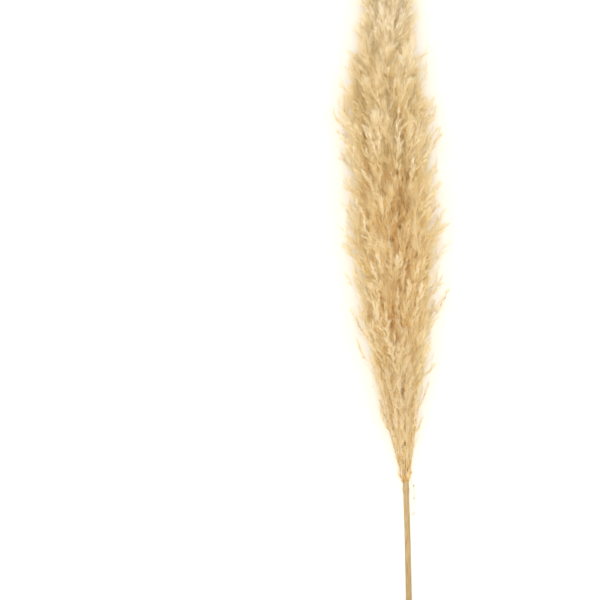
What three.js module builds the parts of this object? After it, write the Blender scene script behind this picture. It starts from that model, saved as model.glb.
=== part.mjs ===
// One dried plume of pampas grass on its cut stem, lying on its side.
//
// Millimetres, +Z up. The stem runs along Y with its cut end at the low end and the plume's
// tip at the high end. The resting surface is z = 0: the stem's cut end and the flattened
// belly of the plume lie on it. The origin is the bottom centre of the whole plume's box.
//
// The plume is built the way it grows. The stem carries on through it to near the tip, and
// whorls of feathery branches leave the stem one above the other. Each branch climbs along the
// stem and flares outwards, so every whorl nests inside the one below it. Each branch is
// one closed lock, with the true outer shape of its hairs taken together.

import * as THREE from 'three';
import { mergeVertices } from 'three/addons/utils/BufferGeometryUtils.js';

// Driving dimensions. Distances along the plume are measured from the cut end.
const TIP = 792;                   // the last hairs of the tip
const PLUME_START = 251;           // where the lowest branches leave the stem
const STEM_RADIUS = 2.9;           // at the cut end
const NECK_RADIUS = 2.6;           // just under the plume
const COLLAR_RADIUS = 3.2;         // the swollen ring that carries the lowest branches
const COLLAR_LENGTH = 9;
const STEM_END = 722;              // where the stem runs out inside the tip
const STEM_END_RADIUS = 0.7;
const GAP = 0.4;                   // between neighbouring pieces
const WHORL_GAP = 2.6;             // between two whorls, measured along the stem

// How the stem lies: [distance, sideways], and [distance, height of its centre line].
const SIDEWAYS = [
  [0, 17], [150, 13], [250, 10], [340, 4.5], [440, 1], [490, -0.5], [540, -5], [640, -8], [792, 2],
];
const HEIGHT = [[0, 2.9], [250, 17.5], [340, 23.5], [440, 28.5], [540, 29.5], [640, 26.5], [792, 9]];

// The plume's outline: [distance, half its width].
const HALF_WIDTH = [
  [251, 3.5], [285, 9], [320, 16], [360, 24.5], [410, 37], [455, 42.5], [500, 42.5],
  [565, 40.5], [615, 34], [680, 25], [730, 16.5], [770, 8], [792, 1.5],
];

// Branches in each whorl, from the lowest whorl to the highest.
const WHORLS = [4, 5, 5, 6, 6, 6, 6, 5, 5, 4, 4];
const LOWEST_WHORL_RISE = 62;      // along the stem, from the lowest whorl to the next
const RISE_RATIO = 0.93;           // each whorl's rise over the one below it
const FIRST_TURN = 0.35;           // radians about the stem, to the lowest whorl's first branch
const WHORL_TURN = 2.4;            // radians from one whorl to the next
const UNEVEN_SPACING = 0.24;       // how far a branch's edge strays, as a share of its width

// How a branch climbs: the distance that it has gone along the stem at a given radius.
const CLIMB = 3.6;                 // close to the stem
const FLARE = 0.02;                // how fast it turns outwards
const climbed = (radius) => (CLIMB - FLARE * radius) * radius;

// The shape of a branch.
const NARROWING = 0.36;            // share of its width that it loses by its tip
const SHORTEST_REACH = 0.95;       // of the outline
const REACH_RANGE = 0.12;          // more than the shortest, by chance
const CROWN = 1.03;                // the reach of its middle line, over its mean reach
const SIDE_ROUNDING = 0.12;        // share of the reach that its two sides lose
const END_ROUNDING = 0.06;         // share of the reach that its upper and lower faces lose
const THINNEST = 1.5;              // from its inner face to its outer face

const colours = { hair: 0xdcbe8e, straw: 0xcdb07d };

const straw = () => new THREE.MeshStandardMaterial({ color: colours.straw, roughness: 0.55, metalness: 0 });
const hair = () => new THREE.MeshStandardMaterial({ color: colours.hair, roughness: 0.9, metalness: 0 });

// A smooth line through [x, y] points, as a function of x.
function smoothLine(points) {
  const slopes = points.map((point, i) => {
    const before = points[Math.max(i - 1, 0)];
    const after = points[Math.min(i + 1, points.length - 1)];
    return (after[1] - before[1]) / (after[0] - before[0]);
  });
  return (x) => {
    let i = 0;
    while (i < points.length - 2 && x > points[i + 1][0]) i += 1;
    const [x0, y0] = points[i];
    const [x1, y1] = points[i + 1];
    const run = x1 - x0;
    const t = THREE.MathUtils.clamp((x - x0) / run, 0, 1);
    const rise = t * t * (3 - 2 * t);
    const lean = run * t * (1 - t) * ((1 - t) * slopes[i] - t * slopes[i + 1]);
    return y0 + (y1 - y0) * rise + lean;
  };
}

const sideways = smoothLine(SIDEWAYS);
const height = smoothLine(HEIGHT);
const halfWidth = smoothLine(HALF_WIDTH);

// A repeatable random number between 0 and 1 for a piece's place in its whorl.
function chance(whorl, branch, use) {
  const wave = Math.sin(whorl * 12.9898 + branch * 78.233 + use * 37.719) * 43758.5453;
  return wave - Math.floor(wave);
}

// The point at a distance along the stem, an angle around it and a radius from its centre line.
function around(distance, angle, radius) {
  const x = sideways(distance) + radius * Math.cos(angle);
  const z = height(distance) + radius * Math.sin(angle);
  return new THREE.Vector3(x, distance, Math.max(z, 0));
}

// The stem's radius. It tapers from the neck to nothing much inside the plume.
function stemRadius(distance) {
  if (distance < PLUME_START) {
    return THREE.MathUtils.lerp(STEM_RADIUS, NECK_RADIUS, distance / PLUME_START);
  }
  const through = (distance - PLUME_START) / (STEM_END - PLUME_START);
  return THREE.MathUtils.lerp(NECK_RADIUS, STEM_END_RADIUS, Math.min(through, 1));
}

// A round profile of [radius, distance] points, turned about the stem's centre line.
function turned(profile, sides) {
  const outline = profile.map(([radius, distance]) => new THREE.Vector2(radius, distance));
  const geometry = new THREE.LatheGeometry(outline, sides);
  const place = geometry.attributes.position;
  for (let i = 0; i < place.count; i += 1) {
    const across = place.getX(i);
    const up = place.getZ(i);
    const distance = place.getY(i);
    const point = around(distance, Math.atan2(up, across), Math.hypot(across, up));
    place.setXYZ(i, point.x, point.y, point.z);
  }
  return sealed(geometry);
}

// One closed skin with shared corners.
function sealed(geometry) {
  geometry.deleteAttribute('normal');
  geometry.deleteAttribute('uv');
  const closed = mergeVertices(geometry, 1e-4);
  closed.computeVertexNormals();
  return closed;
}

function piece(name, geometry, material) {
  const mesh = new THREE.Mesh(geometry, material);
  mesh.name = name;
  return mesh;
}

// The cut stem: straight and round below the plume, with the collar at the plume's foot.
function makeStem() {
  const steps = 24;
  const profile = [[0, 0]];
  const collarFoot = PLUME_START - COLLAR_LENGTH;
  for (let i = 0; i <= 5; i += 1) {
    const distance = (collarFoot * i) / 5;
    profile.push([stemRadius(distance), distance]);
  }
  profile.push([COLLAR_RADIUS, collarFoot + 3], [COLLAR_RADIUS, PLUME_START - 3]);
  for (let i = 0; i <= steps; i += 1) {
    const distance = THREE.MathUtils.lerp(PLUME_START, STEM_END, i / steps);
    profile.push([stemRadius(distance), distance]);
  }
  profile.push([0, STEM_END]);
  return piece('stem', turned(profile, 12), straw());
}

// How far out a branch reaches: the plume's outline, flattened where it lies on the surface.
function reach(base, angle, stretch) {
  const down = -Math.sin(angle);
  let near = 0;
  let far = 60;
  for (let i = 0; i < 30; i += 1) {
    const radius = (near + far) / 2;
    const distance = Math.min(base + climbed(radius), TIP);
    const outline = halfWidth(distance) * stretch;
    const floor = down > 0 ? height(distance) / down : Infinity;
    if (radius < Math.min(outline, floor)) near = radius;
    else far = radius;
  }
  return near;
}

// One feathery branch: a box of (angle, rise, radius) bent to its place. It is as wide as its
// share of the whorl close to the stem, and narrows to a blunt tip at the plume's outline.
function makeBranch(name, low, high, start, end, whorl, branch) {
  const [anglesAcross, stepsUp, stepsOut] = [4, 2, 5];
  const geometry = new THREE.BoxGeometry(1, 1, 1, anglesAcross, stepsUp, stepsOut);
  const middle = (start + end) / 2;
  const halfAngle = (end - start) / 2;
  const centre = (low + high) / 2;
  const halfRise = (high - low - WHORL_GAP) / 2;
  const stretch = SHORTEST_REACH + REACH_RANGE * chance(whorl, branch, 1);
  const place = geometry.attributes.position;
  for (let i = 0; i < place.count; i += 1) {
    const across = -2 * place.getX(i);
    const up = 2 * place.getY(i);
    const out = place.getZ(i) + 0.5;
    const narrow = 1 - NARROWING * out ** 3;
    const base = centre + halfRise * up * narrow;
    const inner = stemRadius(base + CLIMB * STEM_RADIUS) + GAP;
    const rounded = stretch * (CROWN - SIDE_ROUNDING * across ** 2 - END_ROUNDING * up ** 2);
    const reached = reach(base, middle + halfAngle * across * narrow, rounded);
    const outer = Math.max(reached, inner + THINNEST);
    const radius = THREE.MathUtils.lerp(inner, outer, out ** 0.8);
    const side = Math.max(halfAngle * narrow - GAP / radius, 0.1);
    const point = around(base + climbed(radius), middle + side * across, radius);
    place.setXYZ(i, point.x, point.y, point.z);
  }
  return piece(name, sealed(geometry), hair());
}

// The whorls, each turned from the one below so that its branches lie over the gaps.
function makeWhorls() {
  const branches = [];
  let low = PLUME_START;
  let rise = LOWEST_WHORL_RISE;
  WHORLS.forEach((count, whorl) => {
    const high = low + rise;
    const share = (2 * Math.PI) / count;
    const turn = FIRST_TURN + whorl * WHORL_TURN;
    const edges = [];
    for (let branch = 0; branch < count; branch += 1) {
      const stray = UNEVEN_SPACING * (chance(whorl, branch, 0) - 0.5);
      edges.push(turn + share * (branch + stray));
    }
    edges.push(edges[0] + 2 * Math.PI);
    for (let branch = 0; branch < count; branch += 1) {
      const letter = 'abcdef'[branch];
      const name = `whorl_${String(whorl + 1).padStart(2, '0')}_branch_${letter}`;
      branches.push(makeBranch(name, low, high, edges[branch], edges[branch + 1], whorl, branch));
    }
    low = high;
    rise *= RISE_RATIO;
  });
  return { branches, top: low };
}

// The tuft at the tip, inside the highest whorl and over the end of the stem.
function makeTipTuft(foot) {
  const steps = 6;
  const profile = [[0, foot]];
  const rim = reach(foot, Math.PI / 2, 1);
  for (let i = 1; i <= 4; i += 1) {
    const radius = (rim * i) / 4;
    profile.push([radius, foot + climbed(radius)]);
  }
  const shoulder = foot + climbed(rim);
  for (let i = 1; i < steps; i += 1) {
    const distance = THREE.MathUtils.lerp(shoulder, TIP, i / steps);
    profile.push([halfWidth(distance), distance]);
  }
  profile.push([0, TIP]);
  return piece('tip_tuft', turned(profile, 12), hair());
}

// The thin bare twig that hangs back from the collar beside the stem.
function makeHangingTwig() {
  const thickness = 0.45;
  const offsets = [[3.9, 256], [6.2, 252], [7.4, 244], [6.9, 234], [5.6, 224]];
  const route = offsets.map(([aside, distance]) => around(distance, 0.25, aside));
  const section = new THREE.Shape().absarc(0, 0, thickness, 0, 2 * Math.PI);
  const extrusion = { extrudePath: new THREE.CatmullRomCurve3(route), steps: 12, curveSegments: 4 };
  const geometry = new THREE.ExtrudeGeometry(section, { ...extrusion, bevelEnabled: false });
  return piece('hanging_twig', sealed(geometry), straw());
}

const plume = new THREE.Group();
const { branches, top } = makeWhorls();
plume.add(makeStem(), ...branches, makeTipTuft(top), makeHangingTwig());

// Put the origin at the bottom centre of the whole.
const box = new THREE.Box3().setFromObject(plume);
const middle = box.getCenter(new THREE.Vector3());
plume.position.set(-middle.x, -middle.y, -box.min.z);

export default plume;
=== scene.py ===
"""One dried plume of pampas grass on its cut stem, lying on a pale floor.

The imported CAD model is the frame: it says where the stem and each feathery branch lie. Every
branch is grown here in the place of its own CAD solid, the way the real one grows: thin stalks
that leave the stem, branchlets along each stalk, and silky hairs and seed husks along each
branchlet. Lengths are in metres, unless a name ends in IN_MM.
"""

import math
from typing import NamedTuple

import bpy
import numpy as np
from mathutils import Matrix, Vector


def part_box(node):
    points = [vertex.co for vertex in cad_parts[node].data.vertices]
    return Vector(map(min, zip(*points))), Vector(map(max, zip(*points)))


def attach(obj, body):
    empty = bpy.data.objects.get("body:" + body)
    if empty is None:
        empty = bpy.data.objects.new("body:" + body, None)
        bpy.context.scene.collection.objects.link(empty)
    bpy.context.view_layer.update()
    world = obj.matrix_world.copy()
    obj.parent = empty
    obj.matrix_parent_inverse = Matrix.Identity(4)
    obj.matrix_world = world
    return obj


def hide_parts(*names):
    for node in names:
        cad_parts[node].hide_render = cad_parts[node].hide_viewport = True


bl_info = {
    "name": "Dried pampas grass plume",
    "version": (1, 0, 0),
    "blender": (4, 5, 0),
    "location": "View3D > Sidebar > Plume",
    "description": "Grows a dried pampas grass plume over its CAD frame, in a plain studio",
    "category": "Object",
}

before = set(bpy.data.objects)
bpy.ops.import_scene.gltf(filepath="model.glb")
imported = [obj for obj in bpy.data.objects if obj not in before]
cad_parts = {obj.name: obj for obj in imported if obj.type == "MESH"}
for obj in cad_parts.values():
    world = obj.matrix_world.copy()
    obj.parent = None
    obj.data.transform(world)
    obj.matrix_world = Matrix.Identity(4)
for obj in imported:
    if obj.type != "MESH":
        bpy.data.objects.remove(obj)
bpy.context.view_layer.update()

MM = 0.001
BODY = "root"

# The name of the UV map that every skin is laid out on.
BAKE_MAP = "OFBake"

# How a branch climbs along the stem before it turns outwards, as in the CAD model.
CLIMB = 3.6
FLARE_PER_MM = 0.02

# How branchlets turn round a stalk, and how wide a hair is from its root to its tip.
GOLDEN_TURN = 2.4
HAIR_PROFILE = np.array([0.85, 1.0, 0.15])

# How many points stalks, the two halves of a tuft's stalk, branchlets and hairs are drawn through.
STALK_STEPS = 18
TUFT_STEPS = 9
BRANCHLET_STEPS = 6
HAIR_STEPS = len(HAIR_PROFILE)

# Radii from the foot to the tip.
STALK_RADII = (0.32 * MM, 0.08 * MM)
BRANCHLET_RADII = (0.13 * MM, 0.05 * MM)
TWIG_RADII = (0.35 * MM, 0.12 * MM)

# The lengths and width of seed husks, and the size of the few on the twig.
HUSK_LENGTHS_IN_MM = (2.2, 3.6)
HUSK_WIDTH = 0.5 * MM
TWIG_HUSK_LENGTH = 2.6 * MM
TWIG_HUSK_WIDTH = 0.6 * MM

# The low hairs are pressed into a bed of this depth, and stay this far clear of the floor.
BED = 3 * MM
CLEARANCE = 0.2 * MM

# How far main stalks may stray past the plume's outline.
STALK_FREEDOM = 12 * MM

# Where the plume is slimmer than this radius, its branchlets and hairs are shorter and stray less.
FULL_RADIUS = 26 * MM
LEAST_SLIMNESS = 0.15

# Over this stretch above the plume's foot the stalks draw together, from nearly all of a
# branch's width to a smaller share of it.
NECK = (0 * MM, 110 * MM)
NECK_SPANS = (0.95, 0.7)

# The plume has a slight waist: pairs of how far up the plume a stalk ends, and the share of its
# reach that it keeps there.
WAIST = ((0.30, 1.0), (0.37, 0.88), (0.45, 0.9), (0.52, 1.0))

# Between these shares of the way up the plume, the stalks come to lose the whole top thinning.
THINNING_RISE = (0.56, 0.68)

# The colour strip that a plume's skin is read from: silky hairs, then stalks, then husks. The
# main stalks are as deep in colour as the hairs round them.
HAIR_STRIP = (0.03, 0.79)
MAIN_STALK_STRIP = 0.38
STALK_STRIP = 0.87
HUSK_STRIP = 0.96
STRIP_WIDTH = 0.012
STRIP_SPAN = (0.02, 0.98)

# Put beside the seed, so that the tip and the twig grow apart from the branches.
TIP_SEED = 1000
TWIG_SEED = 2000

# The stem's skin, and the few hairs left on the twig.
STEM_SIDES = 56
STEM_RINGS = 200
TWIG_HAIRS = 46
TWIG_HAIR_STRIP = 0.5

# The studio. The floor fills any view, and lies just under the plume.
FLOOR_WIDTH = 16.0
FLOOR_GAP = 0.2 * MM
LAMP_DIRECTION = (-0.06, 0.06, 1.0)
SENSOR_WIDTH_IN_MM = 36.0

# The material that all the hairs share.
SILK = "Dried_pampas_silk"


# ---------------------------------------------------------------------------
# Reading the frame
# ---------------------------------------------------------------------------


def node_points(name):
    """The corners of a CAD node, one row each."""
    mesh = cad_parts[name].data
    points = np.zeros(len(mesh.vertices) * 3)
    mesh.vertices.foreach_get("co", points)
    return points.reshape(-1, 3)


def branch_names():
    """The CAD nodes of the whorls' branches, from the lowest whorl to the highest."""
    return sorted(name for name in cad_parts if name.startswith("whorl_"))


class CentreLine:
    """The line that the stem follows, measured on its CAD rings and carried on to the tip."""

    def __init__(self):
        # A ring's corners all lie within 0.02 mm of one place along Y.
        points = node_points("stem")
        along = np.unique(np.round(points[:, 1], 5))
        rings = [points[np.abs(points[:, 1] - y) < 2e-5] for y in along]
        low = np.array([ring.min(axis=0) for ring in rings])
        high = np.array([ring.max(axis=0) for ring in rings])
        tuft = node_points("tip_tuft")
        tip = tuft[tuft[:, 1].argmax()]
        middle = (low + high) / 2
        self.along = np.append(along, tip[1])
        self.x = np.append(middle[:, 0], tip[0])
        self.z = np.append(middle[:, 2], tip[2])
        self.radius = np.append((high[:, 0] - low[:, 0]) / 2, 0.0)

    def at(self, along):
        """The line's x and z at distances along Y."""
        return np.interp(along, self.along, self.x), np.interp(along, self.along, self.z)

    def thickness(self, along):
        """The stem's radius at distances along Y."""
        return np.interp(along, self.along, self.radius)

    def polar(self, points):
        """The radius and angle of points about the line."""
        x, z = self.at(points[..., 1])
        aside = points[..., 0] - x
        above = points[..., 2] - z
        return np.hypot(aside, above), np.arctan2(above, aside)

    def place(self, along, angle, radius):
        """The points at an angle and a radius about the line."""
        x, z = self.at(along)
        return np.stack([x + radius * np.cos(angle), along, z + radius * np.sin(angle)], axis=-1)


centre_line = CentreLine()


def climbed(radius):
    """How far along the stem a branch has gone by the time it is at a radius."""
    return (CLIMB - FLARE_PER_MM * radius / MM) * radius


class Outline:
    """The plume's radius along the stem, measured on all the branch solids, one step apart."""

    def __init__(self, step=0.012):
        names = branch_names() + ["tip_tuft"]
        points = np.concatenate([node_points(name) for name in names])
        radius = centre_line.polar(points)[0]
        along = points[:, 1]
        self.along = np.arange(along.min(), along.max() + step, step)
        near = [np.abs(along - y) < step for y in self.along]
        widest = np.array([radius[here].max() if here.any() else 0.0 for here in near])
        padded = np.pad(widest, 1, mode="edge")
        self.radius = (padded[:-2] + padded[1:-1] + padded[2:]) / 3

    def at(self, along):
        """The plume's radius at distances along Y."""
        return np.interp(along, self.along, self.radius)

    def rise(self, along):
        """How far up the plume distances along Y are, from 0 at its foot to 1 at its tip."""
        return (along - self.along[0]) / (self.along[-1] - self.along[0])


outline = Outline()


class BranchPlace:
    """Where one CAD branch solid lies: its middle angle, its foot on the stem and its reach."""

    def __init__(self, name):
        points = node_points(name)
        radius, angle = centre_line.polar(points)

        # Angles mean little close to the stem. The outer half gives the middle angle, and all
        # that is clear of the stem gives the width.
        outer = radius > 0.5 * radius.max()
        self.angle = math.atan2(np.sin(angle[outer]).mean(), np.cos(angle[outer]).mean())
        turned = np.angle(np.exp(1j * (angle - self.angle)))
        clear = radius > 5 * MM
        self.half_angle = float(np.abs(turned[clear]).max())

        # Where each corner would meet the centre line, had it not climbed with the branch.
        foot = points[:, 1] - climbed(radius)
        self.low = float(foot.min())
        self.high = float(foot.max())
        self.reach = float(radius.max())


# ---------------------------------------------------------------------------
# Mesh building
# ---------------------------------------------------------------------------


def unit(vectors):
    """The vectors at length 1."""
    length = np.linalg.norm(vectors, axis=-1, keepdims=True)
    return vectors / np.maximum(length, 1e-12)


def side_axes(direction):
    """Two directions square to each direction given."""
    helper = np.where(np.abs(direction[..., 2:3]) > 0.9, [1.0, 0.0, 0.0], [0.0, 0.0, 1.0])
    first = unit(np.cross(direction, helper))
    return first, np.cross(direction, first)


class Skin:
    """Faces gathered for one mesh, with a place on the colour strip for each corner."""

    def __init__(self):
        self.points = []
        self.corners = []
        self.totals = []
        self.strip = []
        self.count = 0

    def add(self, points, faces, strip):
        """Adds points (n, 3), faces (m, 3 or 4) and each point's place on the strip (n, 2)."""
        self.points.append(points)
        self.corners.append((faces + self.count).ravel())
        self.totals.append(np.full(len(faces), faces.shape[1]))
        self.strip.append(strip)
        self.count += len(points)

    def ribbons(self, paths, across, widths, shade):
        """Flat hairs. paths is (n, k, 3), across (n, 3), widths (k,) and shade (n,)."""
        n, k = paths.shape[:2]
        offset = across[:, None, :] * widths[None, :, None] / 2
        points = np.stack([paths - offset, paths + offset], axis=2).reshape(-1, 3)
        base = np.arange(n)[:, None] * 2 * k + np.arange(k - 1)[None, :] * 2
        faces = np.stack([base, base + 1, base + 3, base + 2], axis=-1).reshape(-1, 4)
        u = np.stack([shade - STRIP_WIDTH / 2, shade + STRIP_WIDTH / 2], axis=-1)
        u = np.broadcast_to(u[:, None, :], (n, k, 2))
        v = np.broadcast_to(np.linspace(*STRIP_SPAN, k)[None, :, None], (n, k, 2))
        self.add(points, faces, np.stack([u, v], axis=-1).reshape(-1, 2))

    def tubes(self, paths, radii, shade, sides):
        """Round stalks. paths is (n, k, 3), radii the first and last, shade a place on the strip."""
        n, k = paths.shape[:2]
        radii = np.linspace(*radii, k)
        first, second = side_axes(unit(np.gradient(paths, axis=1)))
        turn = np.arange(sides) * 2 * math.pi / sides
        ring = (
            first[:, :, None, :] * np.cos(turn)[None, None, :, None]
            + second[:, :, None, :] * np.sin(turn)[None, None, :, None]
        )
        points = (paths[:, :, None, :] + ring * radii[None, :, None, None]).reshape(-1, 3)
        here = np.arange(sides)
        after = (here + 1) % sides
        low = (np.arange(n)[:, None] * k + np.arange(k - 1)[None, :])[..., None] * sides
        high = low + sides
        faces = np.stack([low + here, low + after, high + after, high + here], axis=-1)
        u = shade + STRIP_WIDTH * (here / (sides - 1) - 0.5)
        u = np.broadcast_to(u[None, None, :], (n, k, sides))
        v = np.broadcast_to(np.linspace(*STRIP_SPAN, k)[None, :, None], (n, k, sides))
        self.add(points, faces.reshape(-1, 4), np.stack([u, v], axis=-1).reshape(-1, 2))

    def husks(self, feet, along, length, width, shade):
        """Slim pointed seed husks. feet and along are (n, 3), length (n,)."""
        n = len(feet)
        first, second = side_axes(along)
        belly = feet + along * (0.35 * length)[:, None]
        corners = [
            feet,
            belly + first * width / 2,
            belly + second * width / 3,
            belly - first * width / 2,
            belly - second * width / 3,
            feet + along * length[:, None],
        ]
        points = np.stack(corners, axis=1).reshape(-1, 3)
        foot_end = [[0, 2, 1], [0, 3, 2], [0, 4, 3], [0, 1, 4]]
        point_end = [[5, 1, 2], [5, 2, 3], [5, 3, 4], [5, 4, 1]]
        shape = np.array(foot_end + point_end)
        faces = (np.arange(n)[:, None, None] * len(corners) + shape[None]).reshape(-1, 3)
        u = shade + STRIP_WIDTH * np.array([0.0, -0.5, 0.2, 0.5, -0.2, 0.1])
        v = np.array([0.05, 0.3, 0.4, 0.35, 0.45, 0.95])
        strip = np.tile(np.stack([u, v], axis=-1), (n, 1))
        self.add(points, faces, strip)

    def rings(self, points, place):
        """One round skin through rings of points (rings, sides, 3), with place as v on its map."""
        count, sides = points.shape[:2]
        here = np.arange(sides)
        after = (here + 1) % sides
        low = np.arange(count - 1)[:, None] * sides
        high = low + sides
        faces = np.stack([low + here, high + here, high + after, low + after], axis=-1)
        u = np.broadcast_to(0.02 + 0.9 * here / sides, (count, sides))
        v = np.broadcast_to(0.02 + 0.96 * place, (count, sides))
        strip = np.stack([u, v], axis=-1)
        self.add(points.reshape(-1, 3), faces.reshape(-1, 4), strip.reshape(-1, 2))

    def build(self, name, material):
        """Makes the mesh and its object."""
        points = np.concatenate(self.points)
        corners = np.concatenate(self.corners)
        totals = np.concatenate(self.totals)
        strip = np.concatenate(self.strip)
        starts = np.concatenate([[0], np.cumsum(totals)[:-1]])
        mesh = bpy.data.meshes.new(name)
        mesh.vertices.add(len(points))
        mesh.vertices.foreach_set("co", points.ravel())
        mesh.loops.add(len(corners))
        mesh.loops.foreach_set("vertex_index", corners.astype(np.int32))
        mesh.polygons.add(len(totals))
        mesh.polygons.foreach_set("loop_start", starts.astype(np.int32))
        mesh.polygons.foreach_set("use_smooth", np.ones(len(totals), dtype=bool))
        layer = mesh.uv_layers.new(name=BAKE_MAP)
        layer.data.foreach_set("uv", strip[corners].ravel())
        mesh.update(calc_edges=True)
        mesh.materials.append(material)
        piece = bpy.data.objects.new(name, mesh)
        bpy.context.scene.collection.objects.link(piece)
        return piece


def stand_for(piece, node):
    """The piece takes a CAD node's place and rides on its body."""
    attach(piece, BODY)
    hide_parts(node)


# ---------------------------------------------------------------------------
# Materials
# ---------------------------------------------------------------------------


def linear(colour):
    """An sRGB hex colour such as "#D8B981" as linear red, green, blue and alpha."""
    channels = [int(colour[i : i + 2], 16) / 255 for i in (1, 3, 5)]
    made = [c / 12.92 if c <= 0.04045 else ((c + 0.055) / 1.055) ** 2.4 for c in channels]
    return (*made, 1.0)


def node(tree, kind, settings=None, inputs=None):
    """Adds a node. settings are its own properties, and inputs are values or sockets to link."""
    made = tree.nodes.new(kind)
    for name, value in (settings or {}).items():
        setattr(made, name, value)
    for name, value in (inputs or {}).items():
        socket = made.inputs[name]
        if isinstance(value, bpy.types.NodeSocket):
            tree.links.new(value, socket)
        else:
            socket.default_value = value
    return made


def set_ramp(ramp, stops):
    """Fills a colour ramp node with (position, hex colour) stops."""
    elements = ramp.color_ramp.elements
    while len(elements) < len(stops):
        elements.new(0.5)
    for element, (position, colour) in zip(elements, stops):
        element.position = position
        element.color = linear(colour)


def new_material(name):
    """An empty node material with its output."""
    material = bpy.data.materials.new(name)
    material.use_nodes = True
    material.node_tree.nodes.clear()
    output = material.node_tree.nodes.new("ShaderNodeOutputMaterial")
    return material, material.node_tree, output


def plume_hair_material(settings):
    """Dried grass silk: the hairs of the seed heads, bleached by drying.

    Each hair is a clear, matt thread that lets light through, so a lock glows and its hollows
    turn amber. The strip runs from deep amber hairs to cream ones, then stalk, then husk; the deep
    amber is partly painted shade for the hollows near the stem. The pieces share the one
    material, which the first of them makes.
    """
    if SILK in bpy.data.materials:
        return bpy.data.materials[SILK]
    material, tree, output = new_material(SILK)
    strip = node(tree, "ShaderNodeUVMap", {"uv_map": BAKE_MAP})
    axes = node(tree, "ShaderNodeSeparateXYZ", None, {"Vector": strip.outputs["UV"]})
    kinds = node(tree, "ShaderNodeValToRGB", None, {"Fac": axes.outputs["X"]})
    # The deep end is partly the inner hairs' own colour, partly painted shade for the hollows deep
    # in the plume.
    set_ramp(
        kinds,
        [
            (0.0, settings.deep_and_shade_colour),
            (0.3, settings.honey_colour),
            (0.6, settings.cream_colour),
            (0.81, settings.pale_colour),
            (0.83, settings.stalk_colour),
            (0.91, settings.stalk_colour),
            (0.93, settings.husk_colour),
        ],
    )

    # Each thread takes on the root tint at its root, and has lost it half way along.
    root = node(
        tree,
        "ShaderNodeMapRange",
        None,
        {
            "Value": axes.outputs["Y"],
            "From Min": 0.0,
            "From Max": 0.55,
            "To Min": 0.35,
            "To Max": 0.0,
        },
    )
    coloured = node(
        tree,
        "ShaderNodeMix",
        {"data_type": "RGBA", "blend_type": "MULTIPLY"},
        {
            "Factor": root.outputs["Result"],
            6: kinds.outputs["Color"],
            7: linear(settings.root_tint),
        },
    )
    surface = node(
        tree,
        "ShaderNodeBsdfPrincipled",
        None,
        {
            "Base Color": coloured.outputs[2],
            "Roughness": 0.7,
            "IOR": 1.5,
            "Specular IOR Level": 0.15,
            "Sheen Weight": 0.05,
            "Sheen Roughness": 0.5,
        },
    )
    glow = node(tree, "ShaderNodeBsdfTranslucent", None, {"Color": coloured.outputs[2]})
    both = node(
        tree,
        "ShaderNodeMixShader",
        None,
        {"Fac": 0.55, 1: surface.outputs["BSDF"], 2: glow.outputs["BSDF"]},
    )
    tree.links.new(both.outputs["Shader"], output.inputs["Surface"])
    return material


def straw_material(settings):
    """Dried grass stem: a waxy, pithy straw with fine lengthwise fibres, satin when dry."""
    material, tree, output = new_material("Dried_grass_straw")
    place = node(tree, "ShaderNodeTexCoord")

    # Fibres are about 0.15 mm apart. They are drawn 0.6 mm apart so that they show.
    across = 1 / (0.6 * MM)
    lengthwise = 1 / (45 * MM)
    stretch = node(
        tree,
        "ShaderNodeMapping",
        None,
        {"Vector": place.outputs["Object"], "Scale": (across, lengthwise, across)},
    )
    fibres = node(
        tree,
        "ShaderNodeTexNoise",
        None,
        {"Vector": stretch.outputs["Vector"], "Scale": 1.0, "Detail": 3.0, "Roughness": 0.55},
    )
    blotch = node(
        tree,
        "ShaderNodeTexNoise",
        None,
        {"Vector": place.outputs["Object"], "Scale": 1 / (28 * MM), "Detail": 2.0},
    )
    ramp = node(tree, "ShaderNodeValToRGB", None, {"Fac": fibres.outputs["Fac"]})
    # The palest stop is pale fibre with painted sheen on it.
    set_ramp(
        ramp,
        [
            (0.3, settings.fibre_colour),
            (0.5, settings.straw_colour),
            (0.72, settings.pale_fibre_and_sheen_colour),
        ],
    )

    # The lighter a stop, the more of the weathered brown shows there: most of all towards the
    # cut, less just under the plume, and a little more again at the collar.
    strip = node(tree, "ShaderNodeUVMap", {"uv_map": BAKE_MAP})
    axes = node(tree, "ShaderNodeSeparateXYZ", None, {"Vector": strip.outputs["UV"]})
    foot, end = centre_line.along[[0, -2]]
    collar = (centre_line.along[centre_line.radius.argmax()] - foot) / (end - foot)
    age = node(tree, "ShaderNodeValToRGB", None, {"Fac": axes.outputs["Y"]})
    set_ramp(
        age,
        [
            (0.68 * collar, "#E0E0E0"),
            (0.82 * collar, "#707070"),
            (collar - 0.02, "#404040"),
            (collar, "#808080"),
            (collar + 0.03, "#404040"),
        ],
    )
    weathered = node(
        tree,
        "ShaderNodeMath",
        {"operation": "MULTIPLY"},
        {0: blotch.outputs["Fac"], 1: age.outputs["Color"]},
    )
    coloured = node(
        tree,
        "ShaderNodeMix",
        {"data_type": "RGBA", "blend_type": "MIX"},
        {
            "Factor": weathered.outputs["Value"],
            6: ramp.outputs["Color"],
            7: linear(settings.weathered_colour),
        },
    )
    ridges = node(
        tree,
        "ShaderNodeBump",
        None,
        {"Strength": 0.35, "Distance": 0.08 * MM, "Height": fibres.outputs["Fac"]},
    )
    surface = node(
        tree,
        "ShaderNodeBsdfPrincipled",
        None,
        {
            "Base Color": coloured.outputs[2],
            "Roughness": 0.45,
            "IOR": 1.5,
            "Normal": ridges.outputs["Normal"],
        },
    )
    tree.links.new(surface.outputs["BSDF"], output.inputs["Surface"])
    return material


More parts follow.
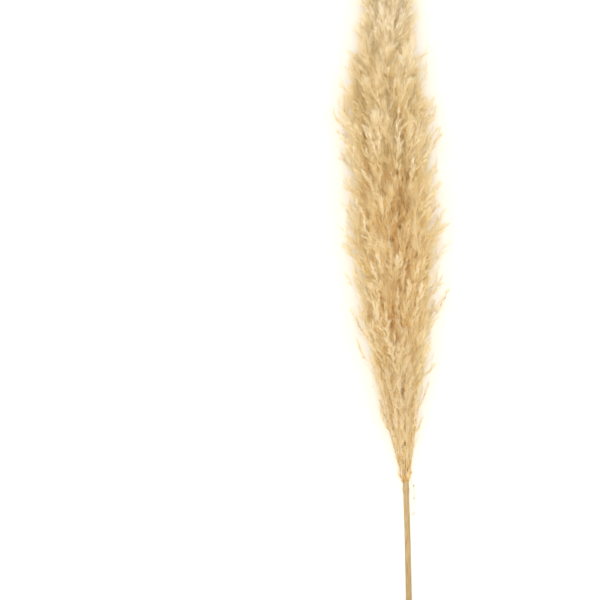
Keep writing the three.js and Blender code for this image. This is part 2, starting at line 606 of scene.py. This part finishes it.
def pith_material(settings):
    """Dried pith: a pale, dull foam, cut with a blade and dotted with fibre bundles' ends."""
    material, tree, output = new_material("Cut_grass_pith")
    place = node(tree, "ShaderNodeTexCoord")

    # The bundles are about 0.5 mm apart.
    bundles = node(
        tree,
        "ShaderNodeTexVoronoi",
        None,
        {"Vector": place.outputs["Object"], "Scale": 1 / (0.5 * MM)},
    )
    ramp = node(tree, "ShaderNodeValToRGB", None, {"Fac": bundles.outputs["Distance"]})
    set_ramp(ramp, [(0.12, settings.bundle_colour), (0.32, settings.pith_colour)])
    cells = node(
        tree,
        "ShaderNodeBump",
        None,
        {"Strength": 0.5, "Distance": 0.1 * MM, "Height": bundles.outputs["Distance"]},
    )
    surface = node(
        tree,
        "ShaderNodeBsdfPrincipled",
        None,
        {
            "Base Color": ramp.outputs["Color"],
            "Roughness": 0.9,
            "IOR": 1.45,
            "Normal": cells.outputs["Normal"],
        },
    )
    tree.links.new(surface.outputs["BSDF"], output.inputs["Surface"])
    return material


def floor_material(settings):
    """Matt white studio paper, rolled smooth, with the faintest mottling."""
    material, tree, output = new_material("Studio_paper")
    place = node(tree, "ShaderNodeTexCoord")
    mottle = node(
        tree,
        "ShaderNodeTexNoise",
        None,
        {"Vector": place.outputs["Object"], "Scale": 1 / (60 * MM), "Detail": 2.0},
    )
    ramp = node(tree, "ShaderNodeValToRGB", None, {"Fac": mottle.outputs["Fac"]})
    set_ramp(ramp, [(0.3, settings.paper_shade), (0.7, settings.paper_colour)])
    surface = node(
        tree,
        "ShaderNodeBsdfPrincipled",
        None,
        {"Base Color": ramp.outputs["Color"], "Roughness": 0.95, "Specular IOR Level": 0.1},
    )
    tree.links.new(surface.outputs["BSDF"], output.inputs["Surface"])
    return material


# ---------------------------------------------------------------------------
# Growing the plume
# ---------------------------------------------------------------------------


class Spray(NamedTuple):
    """One kind of branchlet with its hairs. Each lean is the least and the most, in degrees."""

    per_stalk: int
    start: float  # the share of the stalk below the first branchlet
    lean: tuple
    length: float
    hairs: int
    hair_lean: tuple
    hair_length: float
    freedom: float  # how far it may stray past the plume's outline
    inset: float  # the most that a stalk's branchlets keep inside the outline, as a share
    facing: float  # how strongly the hairs turn a flat side outwards


def slimness(points):
    """How long branchlets and hairs are at points, less where the plume is slim."""
    return np.clip(outline.at(points[..., 1]) / FULL_RADIUS, LEAST_SLIMNESS, 1.0)


def kept_reach(ends, settings):
    """The share of its reach that a stalk keeps, less at the waist and high up the plume."""
    rise = outline.rise(ends)
    thinning = np.clip((rise - THINNING_RISE[0]) / np.ptp(THINNING_RISE), 0, 1)
    return (1 - settings.top_thinning * thinning) * np.interp(rise, *zip(*WAIST))


def outwards(points):
    """Directions from the centre line to the points."""
    angle = centre_line.polar(points)[1]
    return np.stack([np.cos(angle), np.zeros_like(angle), np.sin(angle)], axis=-1)


def hair_shade(roots, lock, rng):
    """Where hairs are read on the colour strip: deep by the stem, paler outwards and upwards."""
    # Hairs by the stem take the deep end of the strip: partly their own deeper colour, partly
    # painted shade for the hollows inside the plume.
    depth = centre_line.polar(roots)[0] / np.maximum(outline.at(roots[:, 1]), 4 * MM)
    rise = outline.rise(roots[:, 1])
    # Hairs are paler towards the plume's tip.
    paling_to_tip = 0.25 * rise + 0.4 * np.clip((rise - 0.62) / 0.15, 0, 1)
    outer = 0.74 * np.clip(depth, 0, 1.1) ** 1.4
    tone = -0.1 + outer + paling_to_tip + lock + rng.normal(0, 0.08, len(roots))
    return HAIR_STRIP[0] + np.clip(tone, 0, 1) * (HAIR_STRIP[1] - HAIR_STRIP[0])


def on_path(paths, where):
    """Points and directions at shares along paths. paths is (n, k, 3), where (n, m)."""
    n, k = paths.shape[:2]
    spot = np.clip(where, 0, 1) * (k - 1)
    before = np.minimum(spot.astype(int), k - 2)
    share = (spot - before)[..., None]
    row = np.arange(n)[:, None]
    start = paths[row, before]
    end = paths[row, before + 1]
    return start + (end - start) * share, unit(end - start)


def leaving(rng, direction, low, high, turn=None):
    """Directions that leave the given ones at an angle between low and high degrees."""
    shape = direction.shape[:-1]
    first, second = side_axes(direction)
    turn = rng.uniform(0, 2 * math.pi, shape) if turn is None else turn
    lean = np.radians(rng.uniform(low, high, shape))[..., None]
    aside = first * np.cos(turn)[..., None] + second * np.sin(turn)[..., None]
    return unit(direction * np.cos(lean) + aside * np.sin(lean))


def curved(starts, away, along, length, steps, bow, unevenness, rng):
    """Lines that leave starts in the directions away, and bend towards the directions along."""
    share = np.linspace(0, 1, steps)[None, :, None]
    bend = (along - away) * bow + rng.normal(0, unevenness, along.shape)
    shape = away[:, None, :] * share + bend[:, None, :] * share**2
    return starts[:, None, :] + shape * length[:, None, None]


def held_in(points, freedom, inset=0.0):
    """Draws strays in to within a distance of the plume's outline, and lays low ones on the floor.

    points is (n, k, 3). inset is the share of the outline that each line, or all, keep clear of.
    """
    radius, angle = centre_line.polar(points)
    limit = outline.at(points[..., 1]) * (1 - np.reshape(inset, (-1, 1)))
    freedom = freedom * slimness(points)
    stray = np.maximum(radius - limit, 0.0)
    radius = np.where(stray > 0, limit + freedom * (1 - np.exp(-stray / freedom)), radius)
    placed = centre_line.place(points[..., 1], angle, radius)
    height = placed[..., 2]
    pressed = BED * np.exp(np.minimum(height - BED, 0) / BED)
    placed[..., 2] = np.maximum(np.where(height < BED, pressed, height), CLEARANCE)
    return placed


def add_branchlets(skin, stalks, spray, rng):
    """Adds branchlets all round the stalks, shorter towards the tips, with their insets."""
    shape = (len(stalks), spray.per_stalk)
    places = np.linspace(spray.start, 1.0, spray.per_stalk)[None, :]
    spread = (1 - spray.start) / spray.per_stalk
    where = places + rng.uniform(-0.5, 0.5, shape) * spread
    feet, along = on_path(stalks, where)
    first_turn = rng.uniform(0, 2 * math.pi, (shape[0], 1))
    turn = np.arange(spray.per_stalk)[None, :] * GOLDEN_TURN + first_turn
    away = leaving(rng, along, *spray.lean, turn)
    taper = 1 - 0.5 * np.clip(where, 0, 1)
    length = (spray.length * taper * rng.uniform(0.6, 1.2, shape)).ravel()
    length *= slimness(feet).ravel()
    feet, away, along = (part.reshape(-1, 3) for part in (feet, away, along))
    inset = np.repeat(rng.uniform(0, spray.inset, shape[0]), spray.per_stalk)
    inset = inset + rng.uniform(0, 0.3 * spray.inset, len(feet))
    lines = curved(feet, away, along, length, BRANCHLET_STEPS, 0.25, 0.08, rng)
    branchlets = held_in(lines, spray.freedom, inset)
    skin.tubes(branchlets, BRANCHLET_RADII, STALK_STRIP, 3)
    return branchlets, inset


def add_hairs(skin, branchlets, inset, spray, settings, rng):
    """Adds silky hairs that leave each branchlet forwards, in locks of nearly one shade."""
    where = rng.uniform(0.0, 1.0, (len(branchlets), spray.hairs)) ** 0.8
    roots, along = on_path(branchlets, where)
    away = leaving(rng, along, *spray.hair_lean)
    taper = 1 - 0.3 * where
    length = (spray.hair_length * rng.uniform(0.55, 1.2, where.shape) * taper).ravel()
    length *= slimness(roots).ravel() ** 0.5
    roots, away, along = (part.reshape(-1, 3) for part in (roots, away, along))
    lines = curved(roots, away, along, length, HAIR_STEPS, 0.35, 0.14, rng)
    hairs = held_in(lines, spray.freedom, np.repeat(inset, spray.hairs))
    flat_side = spray.facing * outwards(roots) + rng.normal(0, 0.6, away.shape)
    across = unit(np.cross(away, flat_side))
    lock = np.repeat(rng.normal(0, 0.035, len(branchlets)), spray.hairs)
    skin.ribbons(hairs, across, settings.hair_width * HAIR_PROFILE, hair_shade(roots, lock, rng))
    return roots, away, along


def add_husks(skin, roots, away, along, settings, rng):
    """Adds seed husks at the roots of some hairs. Near the floor they point up."""
    chosen = rng.choice(len(roots), len(roots) // settings.hairs_per_husk, replace=False)
    length = rng.uniform(*HUSK_LENGTHS_IN_MM, len(chosen)) * MM
    feet, growing = roots[chosen], unit(away[chosen] + along[chosen])
    growing[:, 2] = np.where(feet[:, 2] < length, np.abs(growing[:, 2]), growing[:, 2])
    skin.husks(feet, growing, length, HUSK_WIDTH, HUSK_STRIP)


def grow(name, stalks, tufts, settings, rng, material):
    """Covers stalks and tuft stalks (n, k, 3) with branchlets, hairs and husks, as one piece."""
    body = Spray(
        per_stalk=settings.branchlets,
        start=0.0,
        lean=(13, 32),
        length=settings.branchlet_length,
        hairs=settings.hairs,
        hair_lean=(16, 60),
        hair_length=settings.hair_length,
        freedom=5 * MM,
        inset=0.4,
        facing=1.0,
    )
    wisps = Spray(
        per_stalk=settings.wisps,
        start=0.05,
        lean=(24, 46),
        length=settings.wisp_length,
        hairs=settings.wisp_hairs,
        hair_lean=(8, 24),
        hair_length=0.5 * settings.hair_length,
        freedom=10 * MM,
        inset=0.0,
        facing=0.0,
    )
    ends = Spray(
        per_stalk=settings.tuft_branchlets,
        start=0.5,
        lean=(6, 26),
        length=settings.tuft_branchlet_length,
        hairs=settings.tuft_hairs,
        hair_lean=(6, 30),
        hair_length=0.55 * settings.hair_length,
        freedom=13 * MM,
        inset=0.0,
        facing=0.0,
    )
    skin = Skin()
    for paths, sprays in ((stalks, (body, wisps)), (tufts, (ends,))):
        paths = held_in(paths, STALK_FREEDOM)
        skin.tubes(paths, STALK_RADII, MAIN_STALK_STRIP, 4)
        for spray in sprays:
            branchlets, inset = add_branchlets(skin, paths, spray, rng)
            roots, away, along = add_hairs(skin, branchlets, inset, spray, settings, rng)
            add_husks(skin, roots, away, along, settings, rng)
    return skin.build(name, material)


def branch_stalks(place, settings, rng):
    """The stalks of one branch: they fan out from its foot to the CAD solid's outer end."""
    # Two rows of stalks, spread across the branch and a little unevenly up its foot.
    span = np.interp(place.low, outline.along[0] + np.array(NECK), NECK_SPANS)
    across = np.linspace(-span, span, settings.stalks_across)
    up = np.array([-0.9, 0.5])
    across, up = (part.ravel() for part in np.meshgrid(across, up))
    across = across + rng.uniform(-0.16, 0.16, len(across))
    up = np.maximum(up + rng.uniform(-0.25, 0.3, len(up)), -1.0)
    steepness = rng.uniform(1.0, 1.35, (len(up), 1))

    # The branch draws together towards its end, and its corners are rounded off.
    out = np.linspace(0, 1, STALK_STEPS)[None, :]
    narrow = 1 - 0.3 * out**3
    angle = place.angle + place.half_angle * across[:, None] * narrow
    foot = (place.low + place.high) / 2 + (place.high - place.low) / 2 * up[:, None] * narrow
    rounded = 1 - 0.1 * across**2 - 0.05 * up**2
    thinned = kept_reach(place.low + climbed(place.reach), settings)
    reach = place.reach * rounded * thinned * rng.uniform(0.62, 0.95, len(across))

    # Each stalk starts at the stem's skin, and climbs as the solid does or steeper.
    inner = centre_line.thickness(foot[:, :1])
    radius = inner + (reach[:, None] - inner) * out**0.85
    along = foot + steepness * (climbed(radius) - climbed(inner) * (1 - out) ** 4)
    return centre_line.place(along, angle, radius)


def tuft_stalks(stalks, settings, rng):
    """Stalks that follow the given ones part of the way, and then turn out past the outline."""
    count = settings.tufts
    chosen = rng.choice(len(stalks), count, replace=count > len(stalks))
    turn_at = rng.uniform(0.2, 0.6, (count, 1))
    ease = np.linspace(0, 1, TUFT_STEPS)
    paths = on_path(stalks[chosen], turn_at * ease)[0]
    ends = paths[:, -1]
    radius, angle = centre_line.polar(ends)
    lean = np.radians(rng.uniform(28, 48, count))
    length = settings.tuft_length * rng.uniform(0.7, 1.3, count) * slimness(ends)
    length *= kept_reach(ends[:, 1] + length, settings) ** 2
    ease = ease[None, 1:]
    out = radius[:, None] + (length * np.sin(lean))[:, None] * ease**1.1
    along = ends[:, 1][:, None] + (length * np.cos(lean))[:, None] * ease
    turned = angle[:, None] + rng.normal(0, 0.06, count)[:, None] * ease
    return np.concatenate([paths, centre_line.place(along, turned, out)], axis=1)


def tip_stalks(settings, rng):
    """The stalks of the tip's tuft: they lie round the stem's end and keep inside the outline."""
    low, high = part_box("tip_tuft")
    depth = high.y - low.y
    count = settings.tip_stalks
    out = np.linspace(0, 1, STALK_STEPS)[None, :]
    start = low.y - rng.uniform(0.0, 0.5, count)[:, None] * depth
    end = high.y - rng.uniform(-0.1, 0.6, count)[:, None] * depth
    along = start + (end - start) * out
    angle = (np.arange(count) * GOLDEN_TURN)[:, None] + 0 * out
    spread = rng.uniform(0.2, 0.9, count)[:, None]
    radius = spread * outline.at(along) * np.minimum(2.5 * out, 1)
    return centre_line.place(along, angle, radius)


# ---------------------------------------------------------------------------
# Settings
# ---------------------------------------------------------------------------


class PlumeSettings(bpy.types.PropertyGroup):
    """The feathery branches."""

    seed: bpy.props.IntProperty(name="Seed", description="Which plume grows", default=7)
    stalks_across: bpy.props.IntProperty(
        name="Stalks across", description="Stalks side by side in a branch", default=4, min=1
    )
    branchlets: bpy.props.IntProperty(
        name="Branchlets", description="Branchlets on each stalk", default=18, min=2
    )
    branchlet_length: bpy.props.FloatProperty(
        name="Branchlet length", description="At the foot of a stalk", default=0.030, unit="LENGTH"
    )
    hairs: bpy.props.IntProperty(
        name="Hairs", description="Hairs on each branchlet", default=50, min=1
    )
    hair_length: bpy.props.FloatProperty(
        name="Hair length", description="Of the silky hairs", default=0.0115, unit="LENGTH"
    )
    wisps: bpy.props.IntProperty(
        name="Wisps", description="Stray branchlets on each stalk", default=5, min=1
    )
    wisp_length: bpy.props.FloatProperty(
        name="Wisp length", description="Of a stray branchlet", default=0.034, unit="LENGTH"
    )
    wisp_hairs: bpy.props.IntProperty(
        name="Wisp hairs", description="Hairs on each stray branchlet", default=14, min=1
    )
    tufts: bpy.props.IntProperty(
        name="Tufts", description="Tufts that stand out of each branch", default=9, min=1
    )
    tuft_length: bpy.props.FloatProperty(
        name="Tuft length", description="Past the turn of its stalk", default=0.043, unit="LENGTH"
    )
    tuft_branchlets: bpy.props.IntProperty(
        name="Tuft branchlets", description="Branchlets on each tuft", default=11, min=2
    )
    tuft_branchlet_length: bpy.props.FloatProperty(
        name="Tuft branchlet length",
        description="At the turn of a tuft's stalk",
        default=0.016,
        unit="LENGTH",
    )
    tuft_hairs: bpy.props.IntProperty(
        name="Tuft hairs", description="Hairs on each of a tuft's branchlets", default=26, min=1
    )
    tip_stalks: bpy.props.IntProperty(
        name="Tip stalks", description="Stalks in the tip's tuft", default=12, min=1
    )
    top_thinning: bpy.props.FloatProperty(
        name="Top thinning",
        description="Share of their reach that the highest branches lose",
        default=0.28,
        subtype="FACTOR",
    )
    # A real hair is about 0.05 mm. It is drawn as wide as a small lock so that it shows.
    hair_width: bpy.props.FloatProperty(
        name="Hair width", description="At its widest", default=0.00024, precision=5, unit="LENGTH"
    )
    hairs_per_husk: bpy.props.IntProperty(
        name="Hairs per husk", description="Hairs to one seed husk", default=130, min=1
    )
    # Partly the inner hairs' own colour, partly painted shade for the hollows near the stem.
    deep_and_shade_colour: bpy.props.StringProperty(
        name="Deep", description="Hairs near the stem", default="#FCD272"
    )
    honey_colour: bpy.props.StringProperty(
        name="Honey", description="Hairs half way out", default="#F9ECC4"
    )
    cream_colour: bpy.props.StringProperty(
        name="Cream", description="Hairs at the outside", default="#FCF2D9"
    )
    pale_colour: bpy.props.StringProperty(
        name="Pale", description="The palest hairs", default="#FFF9E8"
    )
    root_tint: bpy.props.StringProperty(
        name="Root tint", description="At a hair's root", default="#FBEFCC"
    )
    stalk_colour: bpy.props.StringProperty(name="Stalk", description="Stalks", default="#FBF3DB")
    husk_colour: bpy.props.StringProperty(name="Husk", description="Seed husks", default="#DDBB80")


class StemSettings(bpy.types.PropertyGroup):
    """The cut stem."""

    ridges: bpy.props.IntProperty(
        name="Ridges", description="Lengthwise ridges round it", default=14
    )
    ridge_height: bpy.props.FloatProperty(
        name="Ridge height",
        description="Of each lengthwise ridge",
        default=0.00007,
        precision=6,
        unit="LENGTH",
    )
    unevenness: bpy.props.FloatProperty(
        name="Unevenness",
        description="How far out of round it grew",
        default=0.00005,
        precision=6,
        unit="LENGTH",
    )
    rind: bpy.props.FloatProperty(
        name="Rind",
        description="Thickness of the hard rind",
        default=0.0005,
        precision=5,
        unit="LENGTH",
    )
    straw_colour: bpy.props.StringProperty(name="Straw", description="The stem", default="#BB9E6B")
    fibre_colour: bpy.props.StringProperty(
        name="Fibre", description="Its dark fibres", default="#997849"
    )
    # Pale fibres with painted sheen on them.
    pale_fibre_and_sheen_colour: bpy.props.StringProperty(
        name="Pale fibres and sheen", description="Its pale fibres", default="#C9B382"
    )
    weathered_colour: bpy.props.StringProperty(
        name="Weathered", description="Brown parts", default="#7E5C35"
    )
    pith_colour: bpy.props.StringProperty(
        name="Pith", description="At the cut end", default="#E9DAB6"
    )
    bundle_colour: bpy.props.StringProperty(
        name="Bundles", description="Fibre ends in the pith", default="#B08D57"
    )


class StageSettings(bpy.types.PropertyGroup):
    """The studio: the camera looks straight down on the plume."""

    aim_aside: bpy.props.FloatProperty(
        name="Aim aside", description="From the cut end, sideways", default=-0.1006, unit="LENGTH"
    )
    aim_along: bpy.props.FloatProperty(
        name="Aim along",
        description="From the cut end, towards the tip",
        default=0.414,
        unit="LENGTH",
    )
    view_width: bpy.props.FloatProperty(
        name="View width", description="What the frame spans", default=0.528, unit="LENGTH"
    )
    lens: bpy.props.FloatProperty(name="Lens", description="Focal length in mm", default=135.0)
    air: bpy.props.FloatProperty(
        name="Air", description="Brightness of the white room", default=1.02
    )
    light: bpy.props.FloatProperty(
        name="Light", description="Strength of the light overhead", default=1.1
    )
    softness: bpy.props.FloatProperty(
        name="Softness", description="Width of that light in degrees", default=40.0
    )
    paper_colour: bpy.props.StringProperty(name="Paper", description="Floor", default="#FFFBF2")
    paper_shade: bpy.props.StringProperty(
        name="Paper shade", description="Its mottling", default="#FDF8EE"
    )


# ---------------------------------------------------------------------------
# Operators
# ---------------------------------------------------------------------------


class PLUME_OT_stem(bpy.types.Operator):
    """Make the cut stem, with its fibres, its collar and its pithy cut end"""

    bl_idname = "plume.stem"
    bl_label = "Stem"

    def execute(self, context):
        """Makes the rind as one skin, and the pith in its cut end as another."""
        settings = context.scene.plume_stem
        turn = np.arange(STEM_SIDES) * 2 * math.pi / STEM_SIDES
        foot, end = centre_line.along[[0, -2]]

        # The rind's outer face, with its ridges. They stay inside the CAD stem's radius.
        along = np.linspace(foot, end, STEM_RINGS)[:, None]
        ridge = settings.ridge_height * np.cos(settings.ridges * turn + 2 * np.sin(turn))
        wave = settings.unevenness * np.sin(along / (17 * MM) + 3 * turn)
        spare = settings.ridge_height + settings.unevenness
        outer = np.maximum(centre_line.thickness(along) + ridge + wave - spare, 0.3 * MM)

        # At the cut end the rind turns in, and its inner face goes up to the pith. At the other
        # end the skin closes to a point, deep in the plume.
        rim = outer[0] - settings.rind
        inside = foot + 2 * settings.rind
        along = np.concatenate([[[inside], [foot]], along, [[end]]]) + np.zeros(STEM_SIDES)
        radius = np.concatenate([[rim, rim], outer, [np.full(STEM_SIDES, 0.01 * MM)]])
        skin = Skin()
        skin.rings(centre_line.place(along, turn, radius), (along - foot) / (end - foot))
        stem = skin.build("cut_stem", straw_material(settings))
        stand_for(stem, "stem")

        # The pith fills the rind a little way in from the cut.
        shares = np.array([1.0, 0.85, 0.6, 0.35, 0.02])[:, None]
        depth = foot + settings.rind * (1 + 0.25 * np.cos(5 * turn + 6 * shares) * shares)
        skin = Skin()
        skin.rings(centre_line.place(depth, turn, rim * shares), 1 - shares + 0 * turn)
        pith = skin.build("pith_at_the_cut", pith_material(settings))
        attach(pith, BODY)
        return {"FINISHED"}


class PLUME_OT_branches(bpy.types.Operator):
    """Grow the feathery branches of every whorl"""

    bl_idname = "plume.branches"
    bl_label = "Branches"

    def execute(self, context):
        """Grows one piece in the place of each CAD branch, with random numbers of its own."""
        settings = context.scene.plume_branches
        material = plume_hair_material(settings)
        for number, name in enumerate(branch_names()):
            rng = np.random.default_rng([settings.seed, number])
            stalks = branch_stalks(BranchPlace(name), settings, rng)
            tufts = tuft_stalks(stalks, settings, rng)
            branch = grow("feathery_" + name, stalks, tufts, settings, rng, material)
            stand_for(branch, name)
        return {"FINISHED"}


class PLUME_OT_tip(bpy.types.Operator):
    """Grow the tuft at the plume's tip"""

    bl_idname = "plume.tip"
    bl_label = "Tip tuft"

    def execute(self, context):
        """Grows the last short branches, all as one piece."""
        settings = context.scene.plume_branches
        rng = np.random.default_rng([settings.seed, TIP_SEED])
        stalks = tip_stalks(settings, rng)
        tufts = tuft_stalks(stalks, settings, rng)
        material = plume_hair_material(settings)
        tuft = grow("feathery_tip_tuft", stalks, tufts, settings, rng, material)
        stand_for(tuft, "tip_tuft")
        return {"FINISHED"}


class PLUME_OT_twig(bpy.types.Operator):
    """Make the thin bare twig that hangs back from the collar"""

    bl_idname = "plume.twig"
    bl_label = "Hanging twig"

    def execute(self, context):
        """Draws the twig through its CAD solid, with a few short hairs and husks left on it."""
        settings = context.scene.plume_branches
        rng = np.random.default_rng([settings.seed, TWIG_SEED])
        points = node_points("hanging_twig")
        order = np.argsort(-points[:, 1])
        groups = np.array_split(points[order], 12)
        spine = np.array([group.mean(axis=0) for group in groups])[None]
        skin = Skin()
        skin.tubes(spine, TWIG_RADII, STALK_STRIP, 6)

        where = rng.uniform(0.1, 1.0, (1, TWIG_HAIRS))
        roots, along = (part[0] for part in on_path(spine, where))
        away = leaving(rng, along, 12, 50)
        length = rng.uniform(2.5, 7.0, TWIG_HAIRS) * MM
        hairs = curved(roots, away, along, length, HAIR_STEPS, 0.4, 0.2, rng)
        across = unit(np.cross(away, rng.normal(0, 1, away.shape)))
        widths = 0.7 * settings.hair_width * HAIR_PROFILE
        skin.ribbons(hairs, across, widths, np.full(TWIG_HAIRS, TWIG_HAIR_STRIP))

        husk_roots, husk_away = roots[::5], away[::5]
        husk_lengths = np.full(len(husk_roots), TWIG_HUSK_LENGTH)
        skin.husks(husk_roots, husk_away, husk_lengths, TWIG_HUSK_WIDTH, HUSK_STRIP)
        twig = skin.build("drooping_twig", plume_hair_material(settings))
        stand_for(twig, "hanging_twig")
        return {"FINISHED"}


class PLUME_OT_stage(bpy.types.Operator):
    """Lay the pale floor, hang the soft light and put the camera overhead"""

    bl_idname = "plume.stage"
    bl_label = "Stage"

    def execute(self, context):
        """Sets the floor, the white air, the lamp and the camera, from the stage's settings."""
        settings = context.scene.plume_stage
        mesh = bpy.data.meshes.new("studio_floor")
        half = FLOOR_WIDTH / 2
        corners = [(-half, -half, 0), (half, -half, 0), (half, half, 0), (-half, half, 0)]
        mesh.from_pydata(corners, [], [(0, 1, 2, 3)])
        mesh.materials.append(floor_material(settings))
        floor = bpy.data.objects.new("studio_floor", mesh)
        floor.location.z = -FLOOR_GAP
        context.scene.collection.objects.link(floor)

        world = bpy.data.worlds.new("Studio_air")
        world.use_nodes = True
        air = world.node_tree.nodes["Background"]
        air.inputs["Color"].default_value = linear("#FFFFFF")
        air.inputs["Strength"].default_value = settings.air
        context.scene.world = world

        lamp = bpy.data.lights.new("overhead_light", "SUN")
        lamp.energy = settings.light
        lamp.angle = math.radians(settings.softness)
        holder = bpy.data.objects.new("overhead_light", lamp)
        holder.rotation_euler = Vector(LAMP_DIRECTION).to_track_quat("Z", "Y").to_euler()
        context.scene.collection.objects.link(holder)

        # The camera stands over a point beside the stem, and its view width holds at the height
        # of the stem's centre line.
        cut_x = float(centre_line.x[0])
        cut_y = float(centre_line.along[0])
        lens = bpy.data.cameras.new("overhead_camera")
        lens.lens = settings.lens
        lens.sensor_width = SENSOR_WIDTH_IN_MM
        camera = bpy.data.objects.new("overhead_camera", lens)
        distance = settings.view_width * lens.lens / lens.sensor_width
        height = float(np.interp(0.0, centre_line.along, centre_line.z)) + distance
        camera.location = (cut_x + settings.aim_aside, cut_y + settings.aim_along, height)
        context.scene.collection.objects.link(camera)
        context.scene.camera = camera
        context.scene.view_settings.view_transform = "Standard"
        return {"FINISHED"}


class PLUME_PT_panel(bpy.types.Panel):
    """Lists the pieces of the plume"""

    bl_label = "Plume"
    bl_idname = "PLUME_PT_panel"
    bl_space_type = "VIEW_3D"
    bl_region_type = "UI"
    bl_category = "Plume"

    def draw(self, context):
        """Lists a button for each piece and one for the stage."""
        for operator in OPERATORS:
            self.layout.operator(operator.bl_idname)


OPERATORS = (PLUME_OT_stem, PLUME_OT_branches, PLUME_OT_tip, PLUME_OT_twig, PLUME_OT_stage)
SETTINGS = {
    "plume_branches": PlumeSettings,
    "plume_stem": StemSettings,
    "plume_stage": StageSettings,
}


def register():
    """Makes the classes known to Blender, and hangs the settings on the scene."""
    for group in (*SETTINGS.values(), *OPERATORS, PLUME_PT_panel):
        bpy.utils.register_class(group)
    for name, group in SETTINGS.items():
        setattr(bpy.types.Scene, name, bpy.props.PointerProperty(type=group))


def unregister():
    """Takes away what register added."""
    for name in SETTINGS:
        delattr(bpy.types.Scene, name)
    for group in reversed((*SETTINGS.values(), *OPERATORS, PLUME_PT_panel)):
        bpy.utils.unregister_class(group)


def main():
    """Makes the plume and its studio."""
    register()
    bpy.ops.plume.stem()
    bpy.ops.plume.branches()
    bpy.ops.plume.tip()
    bpy.ops.plume.twig()
    bpy.ops.plume.stage()


if __name__ == "__main__":
    main()
